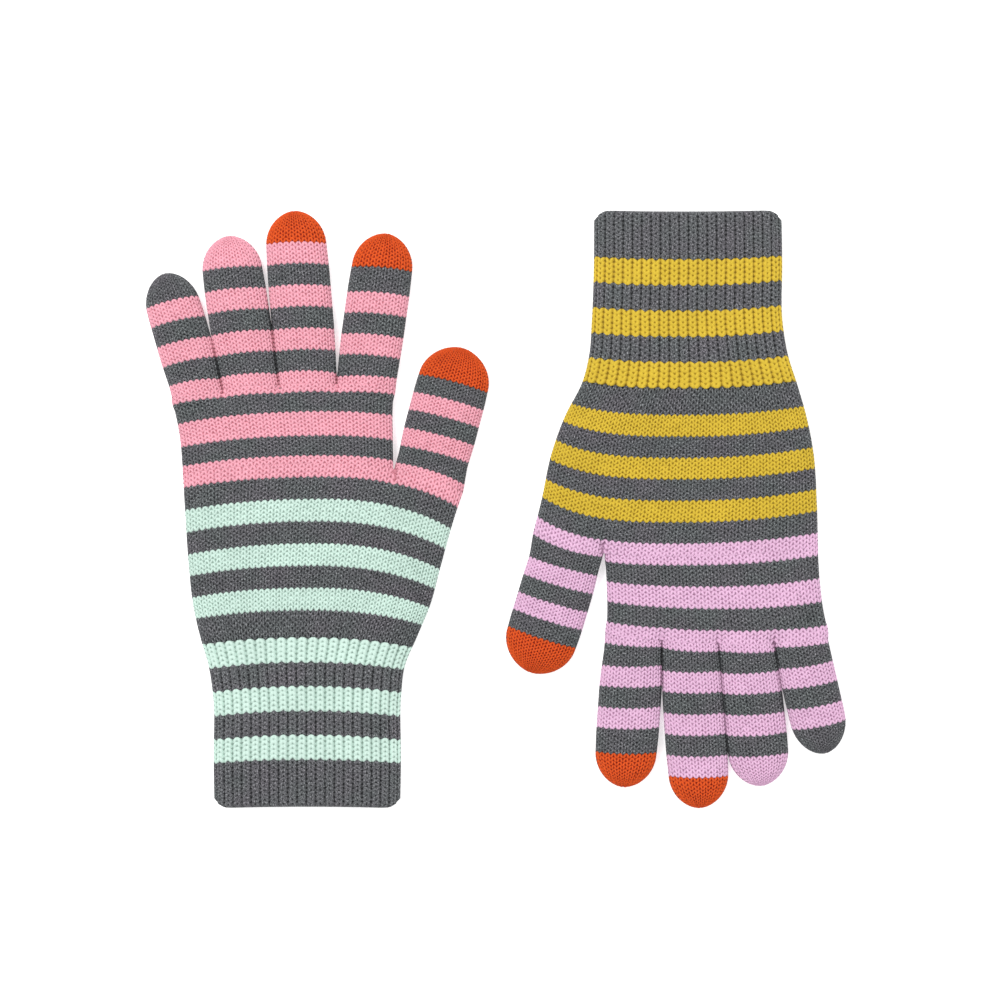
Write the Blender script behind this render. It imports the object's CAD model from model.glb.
import math

import bpy
import numpy as np
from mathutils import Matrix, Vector


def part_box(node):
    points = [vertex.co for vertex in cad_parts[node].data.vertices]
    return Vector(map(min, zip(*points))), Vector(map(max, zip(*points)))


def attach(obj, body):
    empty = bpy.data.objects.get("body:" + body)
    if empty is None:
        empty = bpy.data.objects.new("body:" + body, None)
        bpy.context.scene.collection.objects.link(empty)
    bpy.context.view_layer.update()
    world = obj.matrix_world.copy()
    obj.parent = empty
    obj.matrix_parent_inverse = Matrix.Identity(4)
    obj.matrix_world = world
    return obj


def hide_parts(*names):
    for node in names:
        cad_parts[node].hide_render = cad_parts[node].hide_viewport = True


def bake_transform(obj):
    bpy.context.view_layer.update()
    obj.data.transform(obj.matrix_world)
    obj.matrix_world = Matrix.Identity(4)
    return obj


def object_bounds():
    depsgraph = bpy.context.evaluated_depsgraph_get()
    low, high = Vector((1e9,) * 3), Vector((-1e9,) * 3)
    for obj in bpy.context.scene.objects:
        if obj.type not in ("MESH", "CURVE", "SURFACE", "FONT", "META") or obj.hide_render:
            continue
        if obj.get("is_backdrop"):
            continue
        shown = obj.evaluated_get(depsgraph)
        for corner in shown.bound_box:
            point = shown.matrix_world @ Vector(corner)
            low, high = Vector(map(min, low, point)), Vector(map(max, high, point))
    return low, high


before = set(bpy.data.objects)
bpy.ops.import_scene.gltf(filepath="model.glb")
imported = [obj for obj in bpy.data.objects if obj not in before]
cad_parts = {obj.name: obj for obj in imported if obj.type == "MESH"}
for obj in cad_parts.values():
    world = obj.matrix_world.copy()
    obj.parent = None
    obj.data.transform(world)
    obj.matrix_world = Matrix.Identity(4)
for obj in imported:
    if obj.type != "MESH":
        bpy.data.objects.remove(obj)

# A pair of machine-knitted gloves lying flat. Each glove is made in its own plan: u runs across the palm
# towards the thumb, v from the wrist edge to the fingertips and z up, all in millimetres.
cad_low, cad_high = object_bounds()
MM = 0.001
SEED = 11
SIDES = ["left", "right"]

# ---------------------------------------------------------------- gauge of the knitting
PER_COURSE = 6  # rows of mesh in one course
COURSE_MM = 1.7  # height of a course on the yarns' maps
LOBE = 0.22  # how far a course's edge bulges at the middle of a wale, in courses
LOBE_FADE = 1.5  # courses over which the bulge fades towards a straight end
# fine is how many samples make a wale, pitch how many wales make a stitch, and ratio a stitch's width over
# its height. A stitch is two legs, from its apex down to its feet: places across in stitches and up in
# courses, the yarn's radius in courses, and the relief and the depth of the rib's valleys in mm
PLAIN = dict(fine=8, pitch=1, ratio=1.52, apex=(0.125, 0.88), foot=(0.375, 0.12), yarn=0.275,
             relief=0.80, rib=0.0)
RIB = dict(fine=7, pitch=2, ratio=1.78, apex=(0.12, 0.82), foot=(0.345, 0.20), yarn=0.355,
           relief=0.70, rib=1.1)
LOOSE = dict(fine=8, pitch=1, ratio=1.45, apex=(0.13, 0.89), foot=(0.37, 0.11), yarn=0.245,
             relief=0.95, rib=0.0)
LEG_LOW = 0.62  # a leg's crest is an arch that springs from this share of its height
LEG_CUT = 0.10  # share of that arch which is missing at each end of the leg
LEG_MM = 2.2  # length of a leg on the yarn's map
LEG_APART = 5.0  # how far each leg is moved to its own side on that map, along the yarn and across it
LEG_ASIDE = 3.0
# how much the stitches differ: height and yarn as shares, places in stitches across and in courses up
UNEVEN_HEIGHT = 0.06
UNEVEN_YARN = 0.05
UNEVEN_ACROSS = 0.018
UNEVEN_UP = 0.035
PROUDEST = 1.1  # the highest that a stitch may stand
VALLEY_POWER = 5  # how narrow the rib's valleys are
VALLEY_FLAT = 0.6  # share of the stitches' relief that they lose there
VALLEY_DARK = 0.45  # share of their light
INSIDE_PILE = 0.75  # height of the yarn on the inner skin, which has no stitches, and on the lip
LIP_PILE = 0.7
INNER_ON_MAP = 0.10  # share of the outer skin's length that the inner one takes on the unrolled map
MAP_MARGIN = 0.005  # empty edge of that map

# ---------------------------------------------------------------- sizes shared by both gloves, mm
REST = 0.05  # underside of the smooth fabric above the floor
LOWEST = 0.02  # the outer skin's stitches don't go below this
CUFF_THICK = 9.4
HAND_THICK = 8.6
STALL_THICK = 8.4
THIN_FROM = 52  # where the glove starts to thin from the cuff to the hand, and over what length
THIN_OVER = 18
CUFF_WALL = 2.2
HAND_WALL = 1.8
STALL_WALL = 1.7
HAND_POWER = 5.0  # how square a section is in the cuff and the lower hand
PALM_POWER = 4.0  # in the upper hand, and where the lower hand closes in beside the thumb
THUMB_ROOT_POWER = 3.2  # in the thumb's lower piece
STALL_POWER = 2.6  # in the other stalls' lower pieces, and in every outer piece and tip
LOWER_END = 132.8  # the course through the thumb crotch, at the middle of the hand
UPPER_END = 165.2  # the course through the finger crotches
CUFF_FABRIC = dict(knit=RIB, wall=CUFF_WALL, power=HAND_POWER, height=CUFF_THICK)
HAND_FABRIC = dict(knit=PLAIN, wall=HAND_WALL, power=HAND_POWER, height=HAND_THICK)
PALM_FABRIC = dict(knit=PLAIN, wall=HAND_WALL, power=PALM_POWER, height=HAND_THICK)
BAND_COURSES = 10
RIB_COURSES = 25
FIRST_COURSES = 5  # of the lower hand, up to the fourth of each glove's levels
LOWER_COURSES = 38
LOWER_SPLIT = 20  # the lower hand is two pieces, so that neither mesh is too heavy
UPPER_COURSES = 20
CUFF_WALES = 42  # each is counted on one face of the glove
UPPER_WALES = 32
TUCK = 1.3  # how deep the lower hand starts under the end of the rib
TUCK_FADE = 1.8  # courses over which it comes up
MOST_DEPTH = 0.8  # the deepest a stitch goes, as a share of the way to the tube's middle
LEAST_UPRIGHT = 0.15  # where the skin is nearly vertical, that way is measured with this slope
RUMPLE = 0.28  # how far the upper face rises and falls
INSIDE_SHORT = 0.6  # courses by which the inner skin stops short of a closed tip
# the rows tucked under the piece before: how many pairs of rows back, and how deep
SKIRT = [(1.6, 0.8), (0.6, 0.35)]
LIP_TURNS = [75, 50, 25]  # degrees round the wrist edge
LIP_BULGE = 0.45  # how far that edge stands out, as a share of the wall

LEVEL = math.tan(math.radians(3.5))  # the courses of a finger lie that much flatter than it leans
PRESS = 0.3  # how far two stalls press into each other beside a crotch
THUMB_GAP = 0.2  # the palm and the thumb each stop this short of the thumb crotch
PINCH = 11  # length below the thumb crotch over which the hand closes in beside it
UPPER_PINCH = 0.20  # share of the upper hand over which it closes in between the fingers
UPPER_OPEN = 0.25  # share over which it opens again past the thumb crotch
STALL_LEAVES = 9  # length over which a stall leaves the line of its crotches
WIDEN_OVER = 0.36  # share of its length over which a stall reaches its width
TAPER = 0.04  # share of the width that it loses, from and over these shares of the length
TAPER_FROM = 0.6
TAPER_OVER = 0.3
DOME = 13.0  # length of a rounded fingertip
DOME_POWER = 2.0  # the two powers of its outline, which would be a half ellipse at 2 and 0.5
DOME_SIDES = 0.56
TIP_HALF = 0.25  # half width at the very end, and the least inside
TIP_INSIDE = 0.12
TIP_THIN = 0.16  # a tip's thickness at its end, as a share of the stall's
TIP_THIN_POWER = 0.8
TIP_MIDDLE = 0.62  # how high the middle of the tip lies there, as a share of its height in the stall
LEAST_HALF = 0.1  # least half thickness of the space inside
STALL_ARCH = 0.6  # how far a stall's courses fall away at its two sides
ARCH_FROM_ROOT = 6  # lengths over which that fades out at the stall's two ends
ARCH_FROM_TIP = 14
ARCH_POWER = 2.2
CORNER = 3.0  # how far the wrist edge rounds off at its two corners
CORNER_POWER = 30
CORNER_OVER = 8  # length over which the rounding fades
MIN_HALF = 0.20  # thinnest the hand gets between two stalls, as a share of its half thickness
SINK = 0.16  # how much of its half thickness the inner skin sinks there, below the stitches' depth

# the dark creases that start at the crotches
CREASE_FROM = [-1.8, -1.8, -1.8, -5.5]  # where each one starts, from its crotch
CREASE_START = 2.0  # lengths over which it starts and ends
CREASE_END = 10
CREASE_DARK = 0.85
FINGER_CREASE = 1.1  # widths
THUMB_CREASE = 1.7
THUMB_CREASE_ASIDE = 0.4  # how far the thumb's one lies on the thumb's side of its crotch

# how far each course falls away at the hand's two edges, at these distances from the wrist
ARCH_AT = [0, 20, 67, 90, 111, 133, 150, 165]
ARCH_LITTLE = [0.6, 1.7, 3.0, 4.0, 4.4, 4.0, 3.7, 3.4]
ARCH_PALM_THUMB = 2.6  # the same for the course through the finger crotches, on its thumb side

# the hand's outline: half widths towards the little finger and towards the thumb
OUTLINE_AT = [0, 20, 42, 55, 66, 78, 92, 112, 134]
UPPER_AT = [118, 131, 144, 155, 166]

# turn is -1 for the glove that points its fingers down, and nudge moves the fabric sideways on its bodies.
# levels are the heights of the wrist edge, the band's end, the rib's end, the end of the lower hand's first
# courses and the thumb crotch. arch_thumb goes with ARCH_AT and thumb_power is its power. The crotches run
# from the little finger's outer side to the index finger's, and the creases from the little finger's crotch
# to the thumb's
GLOVES = {
    "left": dict(
        turn=1, nudge=-0.5, first="mint_yarn", second="pink_yarn",
        little=[35.8, 36.1, 36.2, 38.1, 41.3, 44.0, 45.6, 47.0, 48.3],
        thumb=[35.9, 36.2, 36.2, 37.8, 42.4, 47.4, 51.2, 56.8, 64.6],
        palm_little=[47.4, 48.1, 49.3, 51.6, 54.8], palm_thumb=[33.2, 33.2, 33.0, 33.0, 34.2],
        crotches=[-52.2, -32.6, -10.9, 11.4, 34.2], crotch_tilt=0.045, thumb_crotch=33.4,
        levels=[1.6, 19.0, 65.8, 76.4, LOWER_END],
        arch_thumb=[0.6, 1.7, 4.2, 8.5, 10.6, 10.9, 3.0, 1.5], thumb_power=2.2,
        crease_leans=[-12, -7, 1, -5], crease_reach=[14, 34, 8, 2],
        knuckle_stripes=[("c", 2), ("g", 5), ("c", 6), ("g", 5), ("c", 2)],
    ),
    "right": dict(
        turn=-1, nudge=0.0, first="mustard_yarn", second="lilac_yarn",
        little=[36.0, 36.3, 36.4, 38.5, 42.0, 45.5, 48.3, 49.7, 50.2],
        thumb=[36.3, 36.4, 37.2, 38.2, 41.0, 47.2, 52.4, 56.8, 62.6],
        palm_little=[49.8, 50.1, 51.0, 52.5, 55.4], palm_thumb=[32.2, 32.0, 31.4, 31.2, 32.0],
        crotches=[-54.0, -33.2, -11.6, 10.2, 32.0], crotch_tilt=-0.03, thumb_crotch=32.4,
        levels=[0.9, 18.6, 68.0, 78.4, LOWER_END],
        arch_thumb=[0.6, 1.4, 2.8, 6.4, 8.3, 10.0, 3.0, 1.5], thumb_power=3.0,
        crease_leans=[-8, -5, 0, -5], crease_reach=[26, 40, 24, 3],
        knuckle_stripes=[("c", 2), ("g", 5), ("c", 5), ("g", 5), ("c", 3)],
    ),
}

# the lower hand's and the stalls' stripes as (yarn, courses): g grey, a the glove's first colour, c its
# second and o the touch yarn
LOWER_STRIPES = [("g", 5), ("a", 5), ("g", 5), ("a", 5), ("g", 5), ("a", 5), ("g", 5), ("c", 5)]
CUFF_STRIPES = [("a", 5), ("g", 5), ("a", 5), ("g", 5), ("a", 5)]
FINGER_STRIPES = [("g", 5), ("c", 5), ("g", 5), ("c", 5)]

# stalls: lean in degrees at the crotch and at the tip, then for the left and the right glove the length,
# the widest width and first, which is what is left at the crotch of the hand's last stripe. Wales are
# counted on one face. split is how many stripes the stall's lower piece has
STALLS = {
    "little": dict(left=(-14.5, -18), right=(-11.5, -14.5), length=(48.0, 44.3), width=(21.3, 21.5),
                   wales=10, first=(3, 1), split=3, stripes=FINGER_STRIPES + [("g", 10)]),
    "ring": dict(left=(-10, -7.5), right=(-6, -7), length=(59.0, 55.2), width=(23.7, 23.8),
                 wales=11, first=(3, 2), split=3, stripes=FINGER_STRIPES + [("g", 5), ("c", 11)]),
    "middle": dict(left=(-5, -4.5), right=(-3.5, -4), length=(67.2, 64.2), width=(24.0, 23.8),
                   wales=11, first=(3, 2), split=3,
                   stripes=FINGER_STRIPES + [("g", 5), ("c", 5), ("o", 11)]),
    "index": dict(left=(7.5, 8.5), right=(3.5, 4.5), length=(59.0, 58.0), width=(24.0, 24.2),
                  wales=11, first=(2, 2), split=3, stripes=FINGER_STRIPES + [("g", 6), ("o", 12)]),
    "thumb": dict(left=(14, 15.5), right=(15, 19), length=(51.8, 51.0), width=(28.0, 28.0),
                  wales=13, first=(2, 1), split=4, stripes=FINGER_STRIPES + [("g", 5), ("o", 15)]),
}
ORDER = ["little", "ring", "middle", "index"]
TOUCH = ["middle", "index", "thumb"]


def smooth(t):
    t = np.clip(t, 0, 1)
    return t * t * (3 - 2 * t)


def through(xs, ys, x):
    """A smooth curve through the points, read at x."""
    xs = np.array(xs, float)
    ys = np.array(ys, float)
    slope = np.gradient(ys, xs)
    x = np.clip(x, xs[0], xs[-1])
    i = np.clip(np.searchsorted(xs, x, side="right") - 1, 0, len(xs) - 2)
    h = xs[i + 1] - xs[i]
    t = (x - xs[i]) / h
    a = ys[i] + t * t * (3 - 2 * t) * (ys[i + 1] - ys[i])
    return a + h * (t * (1 - t) ** 2 * slope[i] - t * t * (1 - t) * slope[i + 1])


# ---------------------------------------------------------------- materials
COLOURS = {  # yarn, its gaps and its bright fibres
    "grey_yarn": ((0.077, 0.079, 0.084), (0.012, 0.013, 0.015), (0.47, 0.475, 0.49)),
    "mint_yarn": ((0.56, 0.73, 0.65), (0.27, 0.37, 0.32), (0.74, 0.92, 0.83)),
    "pink_yarn": ((0.80, 0.365, 0.445), (0.45, 0.145, 0.185), (1.0, 0.56, 0.64)),
    "mustard_yarn": ((0.62, 0.435, 0.034), (0.27, 0.165, 0.006), (0.88, 0.67, 0.10)),
    "lilac_yarn": ((0.73, 0.455, 0.645), (0.35, 0.18, 0.29), (0.93, 0.64, 0.83)),
    "orange_touch_yarn": ((0.68, 0.082, 0.008), (0.24, 0.008, 0.001), (0.95, 0.21, 0.04)),
}


def add_node(tree, kind, **settings):
    node = tree.nodes.new(kind)
    for key, value in settings.items():
        setattr(node, key, value)
    return node


def scaled(tree, source, sizes):
    """Coordinates from a UV map, stretched."""
    place = add_node(tree, "ShaderNodeMapping")
    place.inputs["Scale"].default_value = sizes
    tree.links.new(source.outputs["UV"], place.inputs["Vector"])
    return place


def noise(tree, place, scale, detail=3.0, rough=0.6):
    node = add_node(tree, "ShaderNodeTexNoise")
    node.inputs["Scale"].default_value = scale
    node.inputs["Detail"].default_value = detail
    node.inputs["Roughness"].default_value = rough
    tree.links.new(place.outputs["Vector"], node.inputs["Vector"])
    return node


def ranged(tree, value, low, high, to_low=0.0, to_high=1.0):
    node = add_node(tree, "ShaderNodeMapRange")
    for key, number in (("From Min", low), ("From Max", high), ("To Min", to_low), ("To Max", to_high)):
        node.inputs[key].default_value = number
    tree.links.new(value, node.inputs["Value"])
    return node.outputs["Result"]


def mixed(tree, factor, a, b, blend="MIX"):
    node = add_node(tree, "ShaderNodeMix", data_type="RGBA", blend_type=blend)
    for socket, value in ((node.inputs[0], factor), (node.inputs[6], a), (node.inputs[7], b)):
        if isinstance(value, bpy.types.NodeSocket):
            tree.links.new(value, socket)
        elif isinstance(value, tuple):
            socket.default_value = (*value, 1.0)
        else:
            socket.default_value = value
    return node.outputs[2]


def yarn_material(name):
    """Knitting yarn: fibres along each leg of a stitch, darker between the legs, flecked if it's grey."""
    body, gap, bright = COLOURS[name]
    mat = bpy.data.materials.new(name)
    mat.use_nodes = True
    tree = mat.node_tree
    shader = tree.nodes["Principled BSDF"]
    yarn = add_node(tree, "ShaderNodeUVMap", uv_map="yarn")
    cloth = add_node(tree, "ShaderNodeUVMap", uv_map="stitch")
    pile = add_node(tree, "ShaderNodeAttribute", attribute_name="pile")
    height = pile.outputs["Fac"]

    fibres = noise(tree, scaled(tree, yarn, (0.9, 4.5, 1.0)), 1.6, 4.0, 0.65)
    flecks = noise(tree, scaled(tree, cloth, (2.6, 1.5, 1.0)), 1.0, 3.0, 0.75)
    drift = noise(tree, scaled(tree, cloth, (0.06, 0.06, 1.0)), 1.0, 2.0, 0.5)
    if name == "grey_yarn":
        dark = tuple(0.5 * x for x in body)
        tone = mixed(tree, ranged(tree, fibres.outputs["Fac"], 0.36, 0.56), dark, body)
        tone = mixed(tree, ranged(tree, flecks.outputs["Fac"], 0.50, 0.72), tone, bright)
        slow = ranged(tree, drift.outputs["Fac"], 0.35, 0.65)
        tint = mixed(tree, slow, (0.92, 1.0, 0.97), (1.05, 0.97, 1.04))
        tone = mixed(tree, 0.8, tone, tint, "MULTIPLY")
    else:
        soft = tuple(0.55 * x + 0.45 * y for x, y in zip(body, gap))
        tone = mixed(tree, ranged(tree, fibres.outputs["Fac"], 0.28, 0.50), soft, body)
        tone = mixed(tree, ranged(tree, fibres.outputs["Fac"], 0.52, 0.78, 0.0, 0.8), tone, bright)
        slow = ranged(tree, drift.outputs["Fac"], 0.3, 0.7)
        shade = mixed(tree, slow, (0.95, 0.95, 0.95), (1.03, 1.03, 1.03))
        tone = mixed(tree, 1.0, tone, shade, "MULTIPLY")
    deep = ranged(tree, height, 0.02, 0.42)
    colour = mixed(tree, deep, gap, tone)
    tree.links.new(colour, shader.inputs["Base Color"])

    twist = add_node(tree, "ShaderNodeTexWave", wave_type="BANDS", bands_direction="DIAGONAL")
    twist.inputs["Scale"].default_value = 1.0
    twist.inputs["Distortion"].default_value = 1.2
    tree.links.new(scaled(tree, yarn, (1.4, 0.5, 1.0)).outputs["Vector"], twist.inputs["Vector"])
    both = add_node(tree, "ShaderNodeMath", operation="ADD")
    tree.links.new(ranged(tree, fibres.outputs["Fac"], 0.2, 0.8, 0.0, 0.6), both.inputs[0])
    tree.links.new(ranged(tree, twist.outputs["Fac"], 0.0, 1.0, 0.0, 0.5), both.inputs[1])
    bump = add_node(tree, "ShaderNodeBump")
    bump.inputs["Strength"].default_value = 0.5
    bump.inputs["Distance"].default_value = 0.12 * MM
    tree.links.new(both.outputs[0], bump.inputs["Height"])
    tree.links.new(bump.outputs["Normal"], shader.inputs["Normal"])

    tree.links.new(ranged(tree, fibres.outputs["Fac"], 0.2, 0.8, 0.82, 0.96), shader.inputs["Roughness"])
    shader.inputs["Specular IOR Level"].default_value = 0.25
    shader.inputs["Sheen Weight"].default_value = 0.06
    shader.inputs["Sheen Roughness"].default_value = 0.55
    return mat


YARNS = {name: yarn_material(name) for name in COLOURS}


# ---------------------------------------------------------------- stitches
def stitch_relief(f, c, knit, drift):
    """Height 0 to 1 of the yarn over each point, with its place along and across the leg that shows there.
    f is the place across a stitch, 0 at its middle, c the course and drift the yarn's thickness."""
    q = knit["ratio"]
    height = np.zeros_like(f)
    along = np.zeros_like(f)
    across = np.zeros_like(f)
    base = np.floor(c)
    for step in (-1, 0, 1):
        k = base + step
        for side in (-1, 1):
            ax, ay = side * knit["apex"][0] * q, k + knit["apex"][1]
            bx, by = side * knit["foot"][0] * q, k + knit["foot"][1]
            lx, ly = bx - ax, by - ay
            px, py = f * q - ax, c - ay
            t = np.clip((px * lx + py * ly) / (lx * lx + ly * ly), 0, 1)
            dx, dy = px - t * lx, py - t * ly
            d = np.sqrt(dx * dx + dy * dy) / (knit["yarn"] * drift)
            round_top = np.sqrt(np.clip(1 - d * d, 0, 1))
            crest = LEG_LOW + (1 - LEG_LOW) * np.sin(np.pi * (LEG_CUT + (1 - 2 * LEG_CUT) * t))
            h = round_top * crest
            win = h > height
            height = np.where(win, h, height)
            along = np.where(win, t * LEG_MM + COURSE_MM * k + LEG_APART * side, along)
            across = np.where(win, np.sign(dx) * d + LEG_ASIDE * side, across)
    return height, along, across


def section(half_width, half_height, power, samples):
    """Equal steps round a flattened oval, from the middle of its underside: sideways and upward shares."""
    half_degrees = 721
    angle = np.linspace(-math.pi / 2, 1.5 * math.pi, half_degrees)
    x = np.cos(angle)
    z = np.sign(np.sin(angle)) * np.sqrt(np.clip(1 - np.abs(x) ** power, 0, 1))
    length = np.concatenate([[0], np.cumsum(np.hypot(np.diff(x * half_width), np.diff(z * half_height)))])
    at = np.linspace(0, length[-1], samples, endpoint=False)
    return np.interp(at, length, x), np.interp(at, length, z)


# ---------------------------------------------------------------- shape of the hand
def hand_thick(v):
    return HAND_THICK + (CUFF_THICK - HAND_THICK) * (1 - smooth((v - THIN_FROM) / THIN_OVER))


def rumple(u, v):
    """Slow unevenness of fabric that lies loose, from -1 to 1."""
    a = np.sin(0.061 * u + 0.043 * v + 0.6) * np.sin(0.052 * v - 0.031 * u + 1.1)
    return 0.6 * a + 0.4 * np.sin(0.13 * u - 0.05 * v + 2.0) * np.sin(0.09 * v + 0.4)


def ovals(u, spans, power):
    """The upper outline of several stalls side by side, as a share of their half thickness."""
    top = np.zeros_like(u)
    for low, high in spans:
        x = np.abs((u - (low + high) / 2) / ((high - low) / 2))
        top = np.maximum(top, np.sqrt(np.clip(1 - x ** power, 0, 1)))
    return np.maximum(top, MIN_HALF)


def hand_course(glove, v0, xi):
    """Where a course of the cuff or lower hand lies; v0 is its place at the middle of the hand."""
    drop = np.where(xi < 0, through(ARCH_AT, ARCH_LITTLE, v0), through(ARCH_AT, glove["arch_thumb"], v0))
    arch = drop * np.abs(xi) ** np.where(xi < 0, ARCH_POWER, glove["thumb_power"])
    corner = CORNER * np.abs(xi) ** CORNER_POWER * (1 - smooth(v0 / CORNER_OVER))
    v = v0 - arch + corner
    return v, -through(OUTLINE_AT, glove["little"], v), through(OUTLINE_AT, glove["thumb"], v)


def lower_end(glove):
    """The course through the thumb crotch, as points across the hand and the thumb."""
    xi = np.linspace(-1, 1, 201)
    v, low, high = hand_course(glove, LOWER_END, xi)
    return (low + high) / 2 + (high - low) / 2 * xi, v


def lower_line(glove, u):
    return np.interp(u, *lower_end(glove))


def upper_line(glove, u):
    """The course through the finger crotches."""
    low, high = -glove["palm_little"][-1], glove["palm_thumb"][-1]
    xi = np.clip((u - (low + high) / 2) / ((high - low) / 2), -1, 1)
    drop = np.where(xi < 0, ARCH_LITTLE[-1], ARCH_PALM_THUMB)
    return UPPER_END - drop * np.abs(xi) ** ARCH_POWER + glove["crotch_tilt"] * (u - high)


def stall_spans(glove):
    """Each finger stall at the crotches, wide enough to press against its neighbours."""
    edges = glove["crotches"]
    press = [0, PRESS, PRESS, PRESS, 0]
    return [(edges[i] - press[i], edges[i + 1] + press[i + 1]) for i in range(4)]


def crotch_shade(glove, u, v):
    """How much light reaches the fabric near the crotches: 1 in the open, less down in their creases."""
    thumb = glove["thumb_crotch"] + THUMB_CREASE_ASIDE
    edges = glove["crotches"][1:-1] + [thumb]
    shade = np.ones_like(u)
    for edge, lean, below, reach in zip(edges, glove["crease_leans"], CREASE_FROM, glove["crease_reach"]):
        line, width = (lower_line, THUMB_CREASE) if edge == thumb else (upper_line, FINGER_CREASE)
        up = v - line(glove, np.array([edge]))[0]
        off = np.abs(u - edge - up * math.tan(math.radians(lean)))
        beside = 1 - smooth(off / width)
        begun = smooth((up - below) / CREASE_START)
        ended = smooth((up - reach) / CREASE_END)
        shade *= 1 - CREASE_DARK * (beside * begun * (1 - ended))
    return shade


def palm_span(glove):
    return lower_end(glove)[0][0], glove["thumb_crotch"] - THUMB_GAP


def thumb_span(glove):
    return glove["thumb_crotch"] + THUMB_GAP, lower_end(glove)[0][-1]


def lower_surface(glove, v0, xi, s, inset):
    """A point of the cuff or lower hand: v0 is where its course crosses the middle."""
    v, low, high = hand_course(glove, v0, xi)
    u = (low + high) / 2 + ((high - low) / 2 - inset) * xi
    half = hand_thick(v) / 2
    spans = [palm_span(glove), thumb_span(glove)]
    pinch = smooth((v0 - (LOWER_END - PINCH)) / PINCH)
    share = np.abs(s) * (1 - pinch) + pinch * ovals(u, spans, PALM_POWER)
    share = share - (SINK * pinch if inset else 0)
    z = REST + half + (half - inset) * np.sign(s) * share
    return np.stack([u, v, z], -1)


def upper_surface(glove, share_up, xi, s, inset):
    """A point of the upper hand: share_up goes from the thumb crotch at 0 to the finger crotches at 1."""
    low0, high0 = palm_span(glove)
    low1, high1 = glove["crotches"][0], glove["crotches"][-1]
    start_u = (low0 + high0) / 2 + (high0 - low0) / 2 * xi
    end_u = (low1 + high1) / 2 + (high1 - low1) / 2 * xi
    v = lower_line(glove, start_u) * (1 - share_up) + upper_line(glove, end_u) * share_up
    low = -through(UPPER_AT, glove["palm_little"], v)
    high = through(UPPER_AT, glove["palm_thumb"], v)
    fifths = share_up * 5
    near0 = smooth(1 - fifths)
    near1 = smooth(fifths - 4)
    low = low * (1 - near0 - near1) + low0 * near0 + low1 * near1
    high = high * (1 - near0 - near1) + high0 * near0 + high1 * near1
    u = (low + high) / 2 + ((high - low) / 2 - inset) * xi
    half = HAND_THICK / 2 * (1 - smooth(share_up)) + STALL_THICK / 2 * smooth(share_up)
    pinch = smooth((share_up - (1 - UPPER_PINCH)) / UPPER_PINCH)
    start = 1 - smooth(share_up / UPPER_OPEN)
    palm = ovals(u, [(low0, high0)], PALM_POWER)
    fingers = ovals(u, stall_spans(glove), STALL_POWER)
    share = np.abs(s) * (1 - pinch - start) + pinch * fingers + start * palm
    share = share - (SINK * (pinch + start) if inset else 0)
    z = REST + half + (half - inset) * np.sign(s) * share
    return np.stack([u, v, z], -1)


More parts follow.
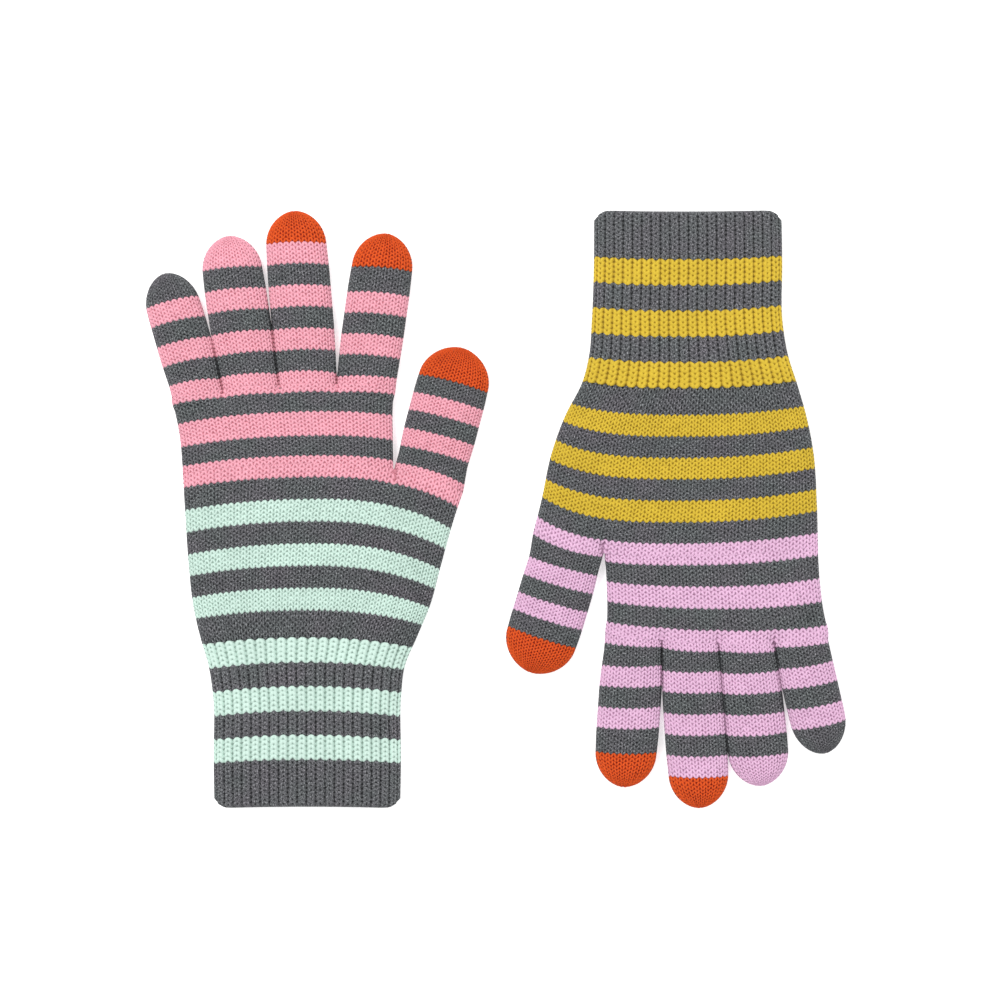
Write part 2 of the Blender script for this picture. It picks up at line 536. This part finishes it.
# ---------------------------------------------------------------- shape of a stall
class Stall:
    """One stall: its middle line, its widths along that line, and where its courses lie."""

    def __init__(self, glove, side, name):
        spec = STALLS[name]
        pick = SIDES.index(side)
        self.glove = glove
        self.wales = spec["wales"]
        if name == "thumb":
            self.low, self.high = thumb_span(glove)
            self.line = lower_line
            self.root_power = THUMB_ROOT_POWER
            self.root_half = HAND_THICK / 2
            self.level = 0
        else:
            self.low, self.high = stall_spans(glove)[ORDER.index(name)]
            self.line = upper_line
            self.root_power = STALL_POWER
            self.root_half = STALL_THICK / 2
            self.level = LEVEL
        self.stripes = [("c", spec["first"][pick])] + spec["stripes"]
        self.length = spec["length"][pick]
        self.courses = sum(count for _, count in self.stripes)
        lean0, lean1 = spec[side]
        s = np.linspace(0, self.length, 401)
        lean = np.radians(lean0 + (lean1 - lean0) * s / self.length)
        step = s[1]
        centre = (self.low + self.high) / 2
        start_v = float(self.line(glove, np.array([centre]))[0])
        self.s = s
        self.lean = lean
        self.au = centre + np.concatenate([[0], np.cumsum(np.sin(lean[:-1]) * step)])
        self.av = start_v + np.concatenate([[0], np.cumsum(np.cos(lean[:-1]) * step)])
        start_half = (self.high - self.low) / 2
        wide = spec["width"][pick] / 2
        body = start_half + (wide - start_half) * smooth(s / (WIDEN_OVER * self.length))
        body *= 1 - TAPER * smooth((s - TAPER_FROM * self.length) / (TAPER_OVER * self.length))
        into = np.clip((s - (self.length - DOME)) / DOME, 0, 1)
        self.dome = (1 - into ** DOME_POWER) ** DOME_SIDES
        self.half_width = np.maximum(body * self.dome, TIP_HALF)
        turn = np.hypot(np.diff(s), np.diff(self.half_width))
        self.arc = np.concatenate([[0], np.cumsum(turn)])
        self.arc_per_course = self.arc[-1] / self.courses

    def surface(self, course, xi, s, inset):
        at = np.interp(np.clip(course, 0, self.courses) * self.arc_per_course, self.arc, self.s)
        fade = smooth(at / ARCH_FROM_ROOT) * smooth((self.length - at) / ARCH_FROM_TIP)
        lean = np.interp(at, self.s, self.lean)
        wide = np.interp(at, self.s, self.half_width)
        # courses lie less steeply than the stall leans
        level = self.level * wide * xi * np.sign(lean)
        at = np.clip(at + (level - STALL_ARCH * np.abs(xi) ** ARCH_POWER) * fade, 0, self.length)
        lean = np.interp(at, self.s, self.lean)
        wide = np.maximum(np.interp(at, self.s, self.half_width) - inset, TIP_INSIDE)
        u = np.interp(at, self.s, self.au) + wide * xi * np.cos(lean)
        v = np.interp(at, self.s, self.av) - wide * xi * np.sin(lean)
        start_u = (self.low + self.high) / 2 + ((self.high - self.low) / 2 - inset) * xi
        start_v = self.line(self.glove, start_u)
        near = 1 - smooth(at / STALL_LEAVES)
        u = u * (1 - near) + (start_u + at * np.sin(lean)) * near
        v = v * (1 - near) + (start_v + at * np.cos(lean)) * near
        dome = np.interp(at, self.s, self.dome)
        thin = TIP_THIN + (1 - TIP_THIN) * dome ** TIP_THIN_POWER
        half = (self.root_half * near + STALL_THICK / 2 * (1 - near)) * thin
        high = STALL_THICK / 2 * (TIP_MIDDLE + (1 - TIP_MIDDLE) * dome)
        middle = REST + high * (1 - near) + (REST + self.root_half) * near
        z = middle + np.maximum(half - inset, LEAST_HALF) * s
        return np.stack([u, v, z], -1)

    def width_at(self, course):
        at = np.interp(course * self.arc_per_course, self.arc, self.s)
        return float(np.interp(at, self.s, self.half_width))


# ---------------------------------------------------------------- meshes
def faces_between(rows, columns, cyclic):
    i = np.arange(rows if cyclic else rows - 1)
    j = np.arange(columns)
    i, j = np.meshgrid(i, j, indexing="ij")
    i2, j2 = (i + 1) % rows, (j + 1) % columns
    return np.stack([i * columns + j, i2 * columns + j, i2 * columns + j2, i * columns + j2], -1)


def both_skins(outer, inner, closed):
    """The rows of both skins in the order of the shell. A closed piece runs from the inner skin's tip back
    to its root and then up the outer skin. An open one runs up the outer skin and down the inner one."""
    return np.concatenate([inner[::-1], outer] if closed else [outer, inner[::-1]])


def make_mesh(name, outer, inner, closed, yarns, row_yarn, pile, stitch, yarn):
    """One closed shell of an outer and an inner skin, with a yarn for each of its rows."""
    rows, columns = outer.shape[:2]
    inner_rows = inner.shape[0]
    first_outer = inner_rows if closed else 0
    grid = both_skins(outer, inner, closed)
    total = grid.shape[0]
    quads = faces_between(total, columns, not closed).reshape(-1, 4)
    loops = quads.ravel()
    starts = np.arange(len(quads)) * 4
    if closed:
        tip = (total - 1) * columns + np.arange(columns)
        root = np.arange(columns)[::-1]
        starts = np.concatenate([starts, [len(loops), len(loops) + columns]])
        loops = np.concatenate([loops, tip, root])
    mesh = bpy.data.meshes.new(name)
    mesh.vertices.add(total * columns)
    mesh.vertices.foreach_set("co", grid.astype(np.float32).ravel())
    mesh.loops.add(len(loops))
    mesh.loops.foreach_set("vertex_index", loops.astype(np.int32))
    mesh.polygons.add(len(starts))
    mesh.polygons.foreach_set("loop_start", starts.astype(np.int32))

    row_of = np.arange(len(quads)) // columns - first_outer
    which = np.array(row_yarn)[np.clip(row_of, 0, len(row_yarn) - 1)]
    inside = (row_of < 0) | (row_of >= rows - 1)
    back = (row_of + inner_rows if closed else total - 1 - row_of) / max(1, inner_rows)
    back = np.clip((back * len(row_yarn)).astype(int), 0, len(row_yarn) - 1)
    which = np.where(inside, np.array(row_yarn)[back], which)
    if closed:
        which = np.concatenate([which, [row_yarn[-1], row_yarn[-1]]])
    for key in yarns:
        mesh.materials.append(YARNS[key])
    mesh.polygons.foreach_set("material_index", which.astype(np.int32))
    mesh.update(calc_edges=True)
    gentle = np.ones(len(starts), bool)
    gentle[: len(quads)] = ~((row_of == -1) | (row_of == rows - 1) | (row_of == total - 1))
    mesh.polygons.foreach_set("use_smooth", gentle)

    light = both_skins(pile, np.full((inner_rows, columns), INSIDE_PILE), closed)
    attribute = mesh.attributes.new("pile", "FLOAT", "POINT")
    attribute.data.foreach_set("value", light.astype(np.float32).ravel())
    add_maps(mesh, quads, loops, outer.shape[:2], inner_rows, closed, stitch, yarn)
    obj = bpy.data.objects.new(name, mesh)
    bpy.context.scene.collection.objects.link(obj)
    return obj


def add_maps(mesh, quads, loops, outer_shape, inner_rows, closed, stitch, yarn):
    """Adds three maps: the tube unrolled, millimetres of cloth, and places along and across the yarn."""
    rows, columns = outer_shape
    total = rows + inner_rows
    first_outer = inner_rows if closed else 0
    at_col = (loops % columns).astype(float)
    wraps = np.zeros(len(loops))
    wraps[: len(quads) * 4].reshape(-1, 4)[quads[:, 0] % columns == columns - 1, 2:] = columns
    at_col = at_col + wraps
    at_row = loops // columns
    if not closed:
        last = np.arange(len(quads)) // columns == total - 1
        at_row[: len(quads) * 4].reshape(-1, 4)[last, 1:3] = total

    # the outer skin's rows take most of the unrolled map, and the inner skin's share what they leave
    span = np.arange(total + 1, dtype=float)
    is_outer = (np.arange(total) >= first_outer) & (np.arange(total) < first_outer + rows - 1)
    span[1:] = np.cumsum(np.where(is_outer, 1.0, INNER_ON_MAP * rows / max(1, total - rows)))
    used = 1 - 2 * MAP_MARGIN
    unrolled = (at_col / columns * used + MAP_MARGIN, span[at_row] / span[-1] * used + MAP_MARGIN)

    mm_per_sample, heights = stitch
    climb = np.linspace(0, 1, inner_rows)[:, None]
    inner_heights = climb * (heights[-1] - heights[0]) + heights[0]
    cloth = (at_col * mm_per_sample, both_skins(heights, inner_heights, closed).ravel()[loops])
    blank = np.zeros((inner_rows, columns))
    along, across = (both_skins(values, blank, closed).ravel()[loops] for values in yarn)
    for title, (first, second) in (("OFBake", unrolled), ("stitch", cloth), ("yarn", (along, across))):
        layer = mesh.uv_layers.new(name=title)
        layer.data.foreach_set("uv", np.stack([first, second], -1).astype(np.float32).ravel())


def to_world(glove, p):
    out = np.empty_like(p)
    out[..., 0] = glove["x"] + glove["turn"] * p[..., 0] * MM
    out[..., 1] = glove["y"] + glove["turn"] * p[..., 1] * MM
    out[..., 2] = p[..., 2] * MM
    return out


def skin_normals(skin):
    along = np.gradient(skin, axis=0)
    across = np.roll(skin, -1, 1) - np.roll(skin, 1, 1)
    normal = np.cross(along, across)
    return normal / np.maximum(np.linalg.norm(normal, axis=-1, keepdims=True), 1e-9)


def uneven_relief(name, course, around, first_course, courses, wales, knit):
    """The stitches' relief, each a little different, and how much of their height each one gains."""
    stitches = wales * 2 // knit["pitch"]
    rng = np.random.default_rng(SEED + sum(ord(ch) for ch in name))
    wander = rng.normal(0, 1, (4, courses + 4, stitches))
    k = np.clip(np.floor(course - first_course + 1.0).astype(int), 0, courses + 3)
    w = np.broadcast_to(np.floor(around).astype(int)[None, :], k.shape)
    f = around - np.floor(around) - 0.5
    f_moved = np.broadcast_to(f[None, :], course.shape) + UNEVEN_ACROSS * wander[1][k, w]
    c_moved = course + UNEVEN_UP * wander[2][k, w]
    thick = 1 + UNEVEN_YARN * wander[3][k, w]
    return *stitch_relief(f_moved, c_moved, knit, thick), UNEVEN_HEIGHT * wander[0][k, w]


def yarn_rows(stripes, rows):
    """The yarns of a piece, and which of them each row of faces is knitted in."""
    kinds = []
    row_yarn = []
    for key, count in stripes:
        if key not in kinds:
            kinds.append(key)
        row_yarn += [kinds.index(key)] * (count * PER_COURSE)
    return kinds, [row_yarn[0]] * (rows - 1 - len(row_yarn)) + row_yarn


def knit_piece(name, glove, surface, width_of, wales, courses, stripes, knit, wall, power, height,
               first_course=0, lobe_ends=(True, True), closed=False, mouth=False, tuck=0.0):
    """Knits one tube. surface(course, xi, s, inset) gives a point; wales are counted on one face."""
    samples = wales * 2 * knit["fine"]
    rows = courses * PER_COURSE + 1
    done = np.arange(rows) / PER_COURSE
    row_course = first_course + done
    around = np.arange(samples) / (knit["fine"] * knit["pitch"])
    f = around - np.floor(around) - 0.5
    lobes = LOBE * np.cos(2 * np.pi * f)[None, :] * np.ones((rows, 1))
    if not lobe_ends[0]:
        lobes *= smooth(done / LOBE_FADE)[:, None]
    if not lobe_ends[1]:
        lobes *= smooth((courses - done) / LOBE_FADE)[:, None]
    course = row_course[:, None] + lobes
    xi = np.empty((rows, samples))
    s = np.empty((rows, samples))
    for r in range(rows):
        xi[r], s[r] = section(width_of(row_course[r]), height / 2, power, samples)
    smooth_skin = surface(course, xi, s, 0.0)
    normal = skin_normals(smooth_skin)

    h, leg_along, leg_across, lift = uneven_relief(
        name, course, around, first_course, courses, wales, knit)
    depth = knit["relief"] * (1 - np.clip(h * (1 + lift), 0, PROUDEST))
    if knit["rib"]:
        valley = np.abs(2 * f) ** VALLEY_POWER
        depth = depth * (1 - VALLEY_FLAT * valley)[None, :] + knit["rib"] * valley[None, :]
        h = h * (1 - VALLEY_DARK * valley[None, :] ** 2)
    if tuck:
        depth = depth + tuck * (1 - smooth(done / TUCK_FADE))[:, None]
    h = h * crotch_shade(glove, smooth_skin[..., 0], smooth_skin[..., 1])

    # no stitch goes past the middle of the tube where it is thin
    opposite = (samples // 2 - np.arange(samples)) % samples
    half = np.abs(smooth_skin[..., 2] - smooth_skin[:, opposite, 2]) / 2
    room = MOST_DEPTH * half / np.maximum(np.abs(normal[..., 2]), LEAST_UPRIGHT)
    depth = depth * np.minimum(1, room / knit["relief"])
    depth = np.minimum(depth, room)
    outer = smooth_skin - normal * depth[..., None]
    wave = rumple(smooth_skin[..., 0], smooth_skin[..., 1])
    outer[..., 2] += RUMPLE * wave * np.clip(s, 0, 1)
    outer[..., 2] = np.maximum(outer[..., 2], LOWEST)

    inner_done = np.linspace(0, courses - (INSIDE_SHORT if closed else 0), max(4, courses // 2))
    inner_course = first_course + inner_done
    keep = np.clip(((inner_course - first_course) * PER_COURSE).round().astype(int), 0, rows - 1)
    inner = surface(inner_course[:, None] + np.zeros((1, samples)), xi[keep], s[keep], wall)
    values = (course, h, leg_along, leg_across)
    if mouth:
        outer, values = add_lip(outer, inner, values, wall)
    else:
        outer, values = add_skirt(outer, normal, values)
    course, h, leg_along, leg_across = values
    kinds, row_yarn = yarn_rows(stripes, outer.shape[0])
    mm_per_sample = 4 * width_of(row_course[0]) / samples
    return make_mesh(name, to_world(glove, outer), to_world(glove, inner), closed, kinds, row_yarn,
                     h, (mm_per_sample, course * COURSE_MM), (leg_along, leg_across))


def add_skirt(outer, normal, values):
    """Tucks two more rows under the piece before this one, so that no gap opens between them."""
    back = outer[0] - outer[2]
    rows = np.stack([outer[0] + back * reach - normal[0] * deep for reach, deep in SKIRT])
    rows[..., 2] = np.maximum(rows[..., 2], LOWEST)
    more = [np.concatenate([np.repeat(x[:1], len(SKIRT), 0), x]) for x in values]
    return np.concatenate([rows, outer]), more


def add_lip(outer, inner, values, wall):
    """Rounds the wrist edge from the outer skin to the inner one."""
    first, start = outer[0], inner[0]
    lip = []
    for angle in np.radians(LIP_TURNS):
        row = (first + start) / 2 + (start - first) / 2 * np.sin(angle)
        row[:, 1] = first[:, 1] - wall * LIP_BULGE * np.cos(angle)
        lip.append(row)
    course, h, leg_along, leg_across = [np.repeat(x[:1], len(LIP_TURNS), 0) for x in values]
    lip_values = (course, np.full_like(h, LIP_PILE), leg_along, leg_across)
    more = [np.concatenate(pair) for pair in zip(lip_values, values)]
    return np.concatenate([np.stack(lip), outer]), more


# ---------------------------------------------------------------- the gloves
def yarn_of(glove, letter):
    return {"g": "grey_yarn", "a": glove["first"], "c": glove["second"], "o": "orange_touch_yarn"}[letter]


def named(glove, stripes):
    return [(yarn_of(glove, letter), count) for letter, count in stripes]


def cut(stripes, start, end):
    """The stripes between two courses."""
    out, at = [], 0
    for letter, count in stripes:
        low, high = max(at, start), min(at + count, end)
        if high > low:
            out.append((letter, high - low))
        at += count
    return out


def finish_piece(nodes):
    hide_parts(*nodes)


def cuff_and_hand(side, glove):
    start = BAND_COURSES + RIB_COURSES
    courses_at = [0, BAND_COURSES, start, start + FIRST_COURSES, start + LOWER_COURSES]

    def surface(course, xi, s, inset):
        return lower_surface(glove, np.interp(course, courses_at, glove["levels"]), xi, s, inset)

    def width_of(course):
        v = float(np.interp(course, courses_at, glove["levels"]))
        return float(through(OUTLINE_AT, glove["little"], v) + through(OUTLINE_AT, glove["thumb"], v)) / 2

    def tube(name, courses, stripes, fabric, **settings):
        return knit_piece(side + name, glove, surface, width_of, CUFF_WALES, courses, named(glove, stripes),
                          **fabric, **settings)

    band = tube("_wrist_band", BAND_COURSES, [("g", BAND_COURSES)], CUFF_FABRIC,
                lobe_ends=(False, True), mouth=True)
    finish_piece([side + "_cuff_band"])
    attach(band, side + "_cuff")

    rib = tube("_cuff_rib", RIB_COURSES, CUFF_STRIPES, CUFF_FABRIC, first_course=BAND_COURSES)
    finish_piece([side + "_ribbed_cuff"])
    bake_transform(rib)

    # the lower hand's first course lies under the rib's last one
    heel = tube("_lower_hand_knit", LOWER_SPLIT + 1, [("g", 1)] + cut(LOWER_STRIPES, 0, LOWER_SPLIT),
                HAND_FABRIC, first_course=start - 1, lobe_ends=(False, True), tuck=TUCK)
    finish_piece([side + "_lower_hand"])
    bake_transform(heel)

    palm = tube("_palm_knit", LOWER_COURSES - LOWER_SPLIT, cut(LOWER_STRIPES, LOWER_SPLIT, LOWER_COURSES),
                HAND_FABRIC, first_course=start + LOWER_SPLIT, lobe_ends=(True, False))
    finish_piece([side + "_lower_hand"])
    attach(palm, side + "_hand")


def upper_hand(side, glove):
    def surface(course, xi, s, inset):
        return upper_surface(glove, np.clip(course / UPPER_COURSES, 0, 1), xi, s, inset)

    def width_of(course):
        return (glove["palm_little"][2] + glove["palm_thumb"][2]) / 2

    knuckles = knit_piece(side + "_upper_hand_knit", glove, surface, width_of, UPPER_WALES, UPPER_COURSES,
                          named(glove, glove["knuckle_stripes"]), lobe_ends=(False, False), **PALM_FABRIC)
    finish_piece([side + "_upper_hand"])
    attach(knuckles, side + "_hand")


def stall_pieces(side, glove, name):
    stall = Stall(glove, side, name)
    root_end = sum(count for _, count in stall.stripes[: STALLS[name]["split"]])
    body_end = stall.courses - (stall.stripes[-1][1] if name in TOUCH else 0)
    label = side + "_" + name

    def tube(part, start, end, knit=PLAIN, power=STALL_POWER, **settings):
        stripes = named(glove, cut(stall.stripes, start, end))
        return knit_piece(label + part, glove, stall.surface, stall.width_at, stall.wales, end - start,
                          stripes, knit, STALL_WALL, power, STALL_THICK, first_course=start, **settings)

    root = tube("_root_knit", 0, root_end, power=stall.root_power, lobe_ends=(False, True))
    finish_piece([label + "_base", label + "_proximal"])
    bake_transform(root)

    closed = name not in TOUCH
    outer = tube("_outer_knit", root_end, body_end, lobe_ends=(True, not closed), closed=closed)
    finish_piece([label + "_distal"])
    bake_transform(outer)

    if name in TOUCH:
        tip = tube("_touch_knit", body_end, stall.courses, knit=LOOSE, lobe_ends=(True, False), closed=True)
        finish_piece([label + "_touch_tip"])
        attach(tip, label + "_distal")


for side, glove in GLOVES.items():
    low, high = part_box(side + "_cuff_band")
    glove["x"] = (low.x + high.x) / 2 + glove["nudge"] * MM
    glove["y"] = low.y if glove["turn"] > 0 else high.y
    cuff_and_hand(side, glove)
    upper_hand(side, glove)
    for name in STALLS:
        stall_pieces(side, glove, name)


# ---------------------------------------------------------------- floor, light and camera
def pale_floor():
    mesh = bpy.data.meshes.new("floor")
    size = 3.0
    corners = [(-size, -size, 0), (size, -size, 0), (size, size, 0), (-size, size, 0)]
    mesh.from_pydata(corners, [], [(0, 1, 2, 3)])
    floor = bpy.data.objects.new("floor", mesh)
    bpy.context.scene.collection.objects.link(floor)
    mat = bpy.data.materials.new("pale_floor")
    mat.use_nodes = True
    shader = mat.node_tree.nodes["Principled BSDF"]
    shader.inputs["Base Color"].default_value = (0.93, 0.93, 0.93, 1)
    shader.inputs["Roughness"].default_value = 1.0
    shader.inputs["Specular IOR Level"].default_value = 0.0
    shader.inputs["Emission Color"].default_value = (1, 1, 1, 1)
    shader.inputs["Emission Strength"].default_value = 0.45
    mesh.materials.append(mat)
    floor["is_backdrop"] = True


def area_light(name, place, size, power):
    data = bpy.data.lights.new(name, "AREA")
    data.shape = "DISK"
    data.size = size
    data.energy = power
    lamp = bpy.data.objects.new(name, data)
    lamp.location = place
    lamp.rotation_mode = "QUATERNION"
    lamp.rotation_quaternion = (-Vector(place)).to_track_quat("-Z", "Y")
    bpy.context.scene.collection.objects.link(lamp)


def studio():
    world = bpy.data.worlds.new("studio")
    world.use_nodes = True
    world.node_tree.nodes["Background"].inputs["Color"].default_value = (1, 1, 1, 1)
    world.node_tree.nodes["Background"].inputs["Strength"].default_value = 0.75
    bpy.context.scene.world = world
    area_light("key", (-0.7, 0.9, 1.5), 0.9, 22.0)
    area_light("fill", (0.9, -0.4, 1.6), 1.2, 7.0)
    bpy.context.scene.view_settings.view_transform = "Standard"


def camera():
    span = 0.385  # the frame's width on the gloves' upper faces
    face = 0.007  # how high those faces lie
    aside, up = 0.0021, 0.00385  # from the middle of the gloves to the middle of the frame
    data = bpy.data.cameras.new("camera")
    data.lens = 100
    data.sensor_width = 36
    cam = bpy.data.objects.new("camera", data)
    centre = (cad_low + cad_high) / 2
    distance = span / data.sensor_width * data.lens
    cam.location = (centre.x + aside, centre.y + up, face + distance)
    bpy.context.scene.collection.objects.link(cam)
    bpy.context.scene.camera = cam


pale_floor()
studio()
camera()

low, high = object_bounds()
